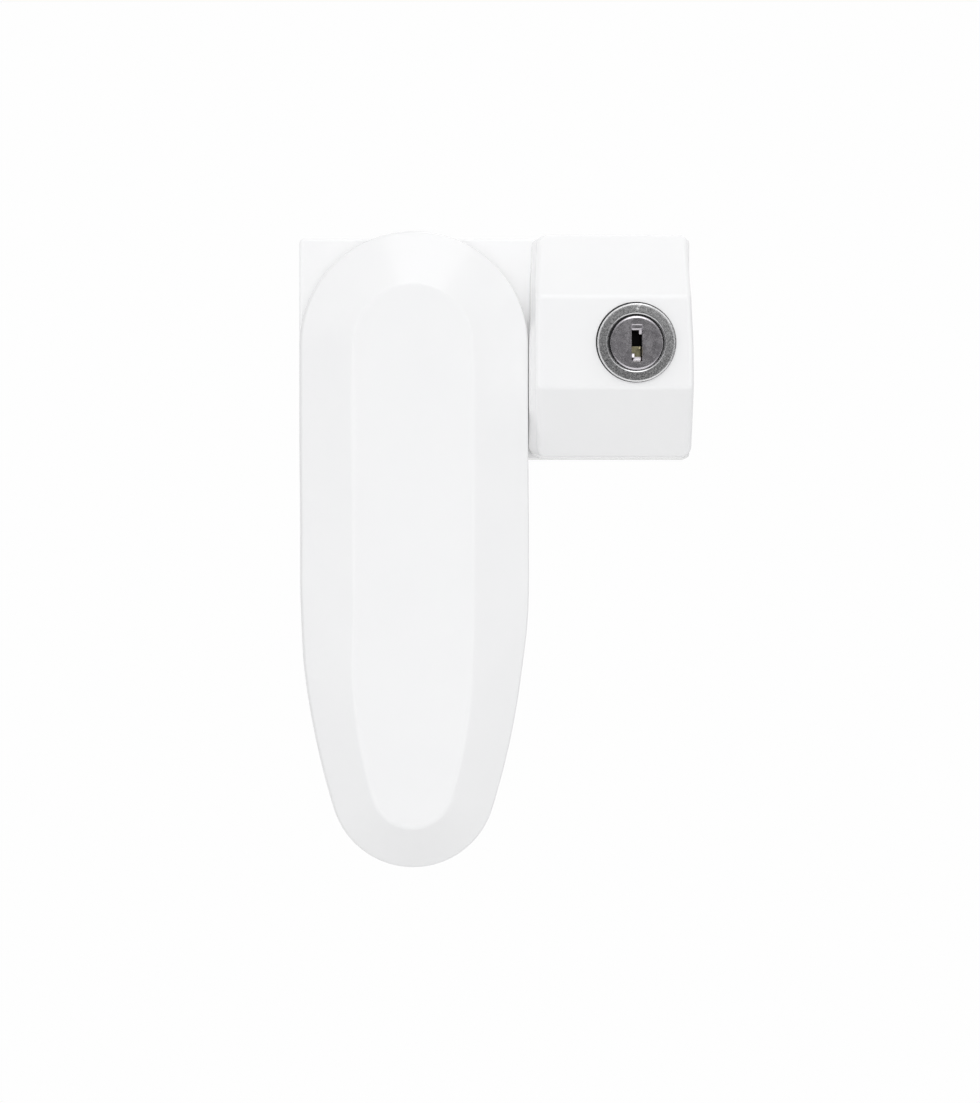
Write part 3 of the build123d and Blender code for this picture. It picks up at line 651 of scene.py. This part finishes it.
def housing_rings(skin, inset, flare, edge, low_round, high_round, steps):
    """The wall and rounded edge as rings, and the number of rows across the face."""
    stations = chin_rows + face_rows
    for crease, radius, fall in (
        (crease_low, low_round, chin_fall), (crease_high, high_round, brow_fall),
    ):
        tilt = math.atan(fall)
        corner = abs(crease) - inset * math.tan(tilt / 2)
        start = corner - radius * math.tan(tilt / 2)
        side = math.copysign(1, crease)
        stations += [
            side * (start + radius * math.sin(tilt * i / crease_steps)) for i in range(crease_steps + 1)
        ]
    # The loop ends at the upper crease, which the rows of the brow are counted from
    stations += [corner + row for row in brow_rows]
    left, right = housing_outline(inset, sorted(stations))
    columns = []
    for x, z, inward_x, inward_z in left + right[::-1]:
        depth, slope = roof(z, inset, low_round, high_round)
        turn = math.pi / 2 - math.atan(slope * inward_z)
        start = depth - edge * math.tan(turn / 2)
        facing = inward_x**2 if inward_x > 0 and flare else 0
        beside = ramp(z, *beside_arm)
        over = beside * ramp(start, *tall_enough)
        foot = x - facing * (flare + beside * (x - foot_x - flare))
        shoulder = base_front + (start - base_front) * curve(z, *shoulder_curve)
        shoulder += over * (lip_depth - shoulder)
        lip = foot + (x - foot) * lip_share
        lip += over * facing * (lip_x - lip)
        column = [(foot, base_front, z), (foot, shoulder - shoulder_round, z), (lip, shoulder, z)]
        for i in range(steps + 1):
            angle = turn * i / steps
            in_by = edge * (1 - math.cos(angle))
            column.append((x + inward_x * in_by, start + edge * math.sin(angle), z + inward_z * in_by))
        columns.append(column)
    rings = [skin.ring(points) for points in zip(*columns)]
    skin.bridge_all(rings)
    return rings, len(left)


def lock_housing():
    """Faceted cap with soft edges, hollow behind, with a hole for the key cylinder."""
    skin = Skin()
    backs = []
    holes = []
    for inset, flare, edge, low_round, high_round, steps in (
        (0, housing_flare, edge_round, low_crease_round, high_crease_round, edge_steps),
        (housing_wall, 0, inner_edge_round, inner_crease_round, inner_crease_round, inner_edge_steps),
    ):
        front = housing_front - inset
        rings, count = housing_rings(skin, inset, flare, edge, low_round, high_round, steps)
        left, right = rings[-1][:count], rings[-1][:count - 1:-1]
        flat = []
        for i in range(count - 1):
            if all(abs(vertex.co.y * 1000 + front) < 0.001 for vertex in left[i:i + 2]):
                flat.append(i)
            else:
                skin.cap((left[i], left[i + 1], right[i + 1], right[i]))
        first, last = flat[0], flat[-1] + 2
        hole = skin.ring([
            (x, front, z)
            for x, z in circle((cylinder_x, cylinder_z), cylinder_hole_radius, hole_points)
        ])
        skin.cap_round(left[first:last] + right[first:last][::-1], [hole])
        backs.append(rings[0])
        holes.append(hole)
    skin.bridge(*backs)
    skin.bridge(*holes)
    skin.piece("housing_shell", "base", "white_shell", ["lock_housing"])


def oval(size, depth, off=(0, 0)):
    """Ring of points round the key cylinder's axis."""
    return [
        (cylinder_x + off[0] + x * size[0], depth, cylinder_z + off[1] + z * size[1])
        for x, z in circle((0, 0), 1, oval_points)
    ]


def softened(profile, radius):
    """A profile of ovals as (width, height, depth), with its inner corners rounded by a small radius."""
    profile = [(*size, depth) for size, depth in profile]
    points = [profile[0]]
    for before, corner, after in zip(profile, profile[1:], profile[2:]):
        tip = Vector(corner)
        one, two = Vector(before) - tip, Vector(after) - tip
        reach = min(radius, one.length / soft_limit, two.length / soft_limit)
        start, end = tip + one.normalized() * reach, tip + two.normalized() * reach
        for i in range(soft_steps + 1):
            share = i / soft_steps
            points.append(tuple(start.lerp(tip, share).lerp(tip.lerp(end, share), share)))
    points.append(profile[-1])
    return points


def oval_wall(skin, profile, radius, off):
    """Rings along a softened profile, joined."""
    rings = [skin.ring(oval((wide, tall), depth, off)) for wide, tall, depth in softened(profile, radius)]
    skin.bridge_all(rings)
    return rings


def cylinder_body():
    """Shank with two flats, and the bezel with its chamfers, punched dot and recess for the plug."""
    skin = Skin()
    wall = oval_wall(skin, [
        ((bezel_radius, bezel_radius), housing_front),
        ((bezel_radius, bezel_radius), bezel_side_front),
        ((bezel_edge_radius, bezel_edge_radius), bezel_edge_depth),
        ((bezel_face_radius, bezel_face_radius), bezel_face_depth),
    ], bezel_soft, bezel_off)
    mouth = oval_wall(skin, [
        (bezel_mouth, bezel_front), (bezel_lip, bezel_front),
        (bezel_hole, bezel_hole_front), (bezel_hole, bezel_hole_floor),
    ], mouth_soft, bezel_hole_off)
    dot = (cylinder_x + dot_off[0], cylinder_z + dot_off[1])
    dots = [
        skin.ring([(x, depth, z) for x, z in circle(dot, radius, dot_points)])
        for radius, depth in dot_rings
    ]
    skin.bridge_all(dots)
    skin.cap(dots[-1])
    skin.cap_round(wall[-1], [mouth[0], dots[0]])
    flats = [
        (min(max(x, cylinder_x - shank_flat), cylinder_x + shank_flat), z)
        for x, depth, z in oval((shank_radius, shank_radius), 0)
    ]
    shank = [skin.ring([(x, depth, z) for x, z in flats]) for depth in (housing_front, shank_back)]
    bore_radius = plug_radius + bore_gap
    bore = [skin.ring(oval((bore_radius, bore_radius), depth)) for depth in (shank_back, bezel_hole_floor)]
    skin.bridge(wall[0], shank[0])
    skin.bridge_all(shank + bore)
    skin.bridge(bore[1], mouth[-1])
    skin.piece("bezel", "base", "nickel_body", ["cylinder_body"])


def box_ring(left, right, low, high, depth, corner, steps=3):
    """Ring of a rounded rectangle in the key cylinder's face, about its axis."""
    points = []
    for x, z, turns in (
        (right - corner, high - corner, 0), (left + corner, high - corner, 1),
        (left + corner, low + corner, 2), (right - corner, low + corner, 3),
    ):
        points += arc((x, z), corner, turns * math.pi / 2, (turns + 1) * math.pi / 2, steps)
    return [(cylinder_x + x, depth, cylinder_z + z) for x, z in points]


def cylinder_plug():
    """Head with its chamfer and the edged key slot, barrel and square tail."""
    skin = Skin()
    head = oval_wall(skin, [
        (plug_head, plug_head_back), (plug_head, plug_head_front),
        (plug_chamfer, plug_front), (plug_face, plug_front),
    ], mouth_soft, plug_off)
    walls = [
        skin.ring(box_ring(
            slot_left - left, slot_right + right, slot_low - low, slot_high + high, depth, corner,
        ))
        for left, right, low, high, depth, corner in slot_mouth
    ]
    skin.bridge_all(walls)
    skin.cap(walls[-1])
    skin.cap_round(head[-1], [walls[0]])
    barrel = [skin.ring(oval((plug_radius, plug_radius), depth)) for depth in (plug_head_back, shank_back)]
    tail = [
        skin.ring(box_ring(
            -tail_half, tail_half, -tail_half, tail_half, depth, tail_corner, oval_points // 4 - 1,
        ))
        for depth in (shank_back, tail_back)
    ]
    skin.bridge_all([head[0], *barrel, *tail])
    skin.cap(tail[-1])
    skin.piece("plug", "plug", "nickel_plug", ["cylinder_plug"])


def slot_part(name, slot, section, left, right):
    """Small part in the key slot: a section between two sides, with soft edges."""
    skin = Skin()
    faces = [
        skin.ring([(cylinder_x + x, depth, cylinder_z + z) for z, depth in section])
        for x in (left, right)
    ]
    skin.bridge(*faces)
    for face in faces:
        skin.cap(face)
    bmesh.ops.recalc_face_normals(skin.mesh, faces=skin.mesh.faces)
    bmesh.ops.bevel(
        skin.mesh, geom=list(skin.mesh.edges), offset=detail_edge / 1000, segments=2, affect="EDGES",
        profile=0.5,
    )
    skin.piece(name, "plug", slot)


def slot_shade_liner():
    """Deep black box behind the ward: painted shade that makes the key slot look dark."""
    skin = Skin()
    rings = [
        skin.ring(box_ring(
            slot_left + inset, slot_right - inset, shade_liner_low + inset, shade_liner_high - inset, depth, shade_liner_corner,
        ))
        for inset, depth in (
            (shade_liner_gap, shade_liner_back), (shade_liner_gap, shade_liner_front), (shade_liner_wall, shade_liner_front), (shade_liner_wall, shade_liner_floor),
        )
    ]
    skin.bridge_all(rings)
    skin.cap(rings[0])
    skin.cap(rings[-1])
    skin.piece("slot_shade_liner", "plug", "rubber")


def seal(name, body, off, inner, outer, depth):
    """Black rubber ring with a round front, round the key cylinder's axis; its black is partly painted
    shade.
    """
    skin = Skin()
    rings = []
    for out, height in arc((0, 0), (outer - inner) / 2, 0, math.pi, seal_steps):
        radius = (inner + outer) / 2 + out
        rings.append(skin.ring(oval((radius, radius), depth + height, off)))
    skin.bridge_all(rings)
    skin.bridge(rings[-1], rings[0])
    skin.piece(name, body, "rubber")


arm_cover()
lock_housing()
cylinder_body()
cylinder_plug()
for name, part in slot_parts.items():
    slot_part(name, *part)
slot_shade_liner()
for name, part in seals.items():
    seal(name, *part)

for name, place, aim, width, height, radiance, in_gloss, in_matt in lamps:
    lamp = bpy.data.lights.new(name, "AREA")
    lamp.shape = "RECTANGLE"
    lamp.size, lamp.size_y = width, height
    lamp.energy = radiance * math.pi * width * height
    holder = bpy.data.objects.new(name, lamp)
    bpy.context.scene.collection.objects.link(holder)
    holder.location = place
    holder.rotation_euler = (Vector(aim) - Vector(place)).to_track_quat("-Z", "Y").to_euler()
    holder.visible_glossy = in_gloss
    holder.visible_diffuse = in_matt

# The room: pale grey to the object, paler above, and white where it is seen, mirrored or looked through
world = bpy.data.worlds.new("studio")
bpy.context.scene.world = world
world.use_nodes = True
room = ShaderTree(world.node_tree)
room.tree.nodes.clear()
parts = room.add("ShaderNodeSeparateXYZ")
room.link(room.add("ShaderNodeTexCoord").outputs["Generated"], parts.inputs[0])
height = room.add("ShaderNodeMapRange")
height.inputs["From Min"].default_value = -1
height.inputs["From Max"].default_value = 1
room.link(parts.outputs["Z"], height.inputs["Value"])
shade = room.add("ShaderNodeMix", data_type="RGBA")
shade.inputs["A"].default_value = room_below
shade.inputs["B"].default_value = room_above
room.link(height.outputs["Result"], shade.inputs["Factor"])
grey = room.add("ShaderNodeBackground")
room.link(shade.outputs["Result"], grey.inputs["Color"])
backdrop = room.add("ShaderNodeBackground")
backdrop.inputs["Color"].default_value = white
seen = room.any_ray("Is Camera Ray", "Is Glossy Ray", "Is Transmission Ray")
room.link(
    room.switch(seen, grey.outputs[0], backdrop.outputs[0]),
    room.add("ShaderNodeOutputWorld").inputs["Surface"],
)


def disc(name, radius, place, turn, material):
    """Flat round sheet for the floor or a card."""
    mesh = bpy.data.meshes.new(name)
    points = [(x, y, 0) for x, y in circle((0, 0), radius, disc_points)]
    mesh.from_pydata(points, [], [range(disc_points)])
    mesh.materials.append(material)
    sheet = bpy.data.objects.new(name, mesh)
    bpy.context.scene.collection.objects.link(sheet)
    sheet.location = place
    sheet.rotation_euler = turn
    return sheet


# The floor keeps shadows, and gloss sees it as white
pale = Shader("pale_floor")
pale.feed("Base Color", pale.blend(pale.noise(scale=6), floor_pale, floor_deep))
pale.set(Roughness=0.7)
mirrored = pale.add("ShaderNodeEmission")
mirrored.inputs["Color"].default_value = white
pale.link(
    pale.switch(
        pale.any_ray("Is Glossy Ray", "Is Transmission Ray"), pale.surface.outputs[0], mirrored.outputs[0],
    ),
    pale.tree.nodes["Material Output"].inputs["Surface"],
)
disc("floor", floor_radius, floor_place, (0, 0, 0), pale.material)

dark = Shader("dark_card")
dark.feed("Base Color", dark.blend(dark.noise(scale=6), card_deep, card_pale))
dark.set(Roughness=0.9)
for name, (radius, place, turn, stretch) in cards.items():
    card = disc(name, radius, place, turn, dark.material)
    card.scale.x = stretch
    card.visible_camera = False
    card.visible_diffuse = False
    card.visible_shadow = False

camera = bpy.data.cameras.new("camera")
camera.sensor_width = camera_sensor
camera.lens = camera_sensor * pixels_per_radian / photo_height
camera.clip_start = 0.05
holder = bpy.data.objects.new("camera", camera)
bpy.context.scene.collection.objects.link(holder)
holder.location = camera_place
holder.rotation_euler = (math.pi / 2, 0, 0)
bpy.context.scene.camera = holder

bpy.context.scene.view_settings.view_transform = "Standard"
# White walls light each other deep in the gap beside the arm
bpy.context.scene.cycles.diffuse_bounces = 16
bpy.context.scene.cycles.max_bounces = 24
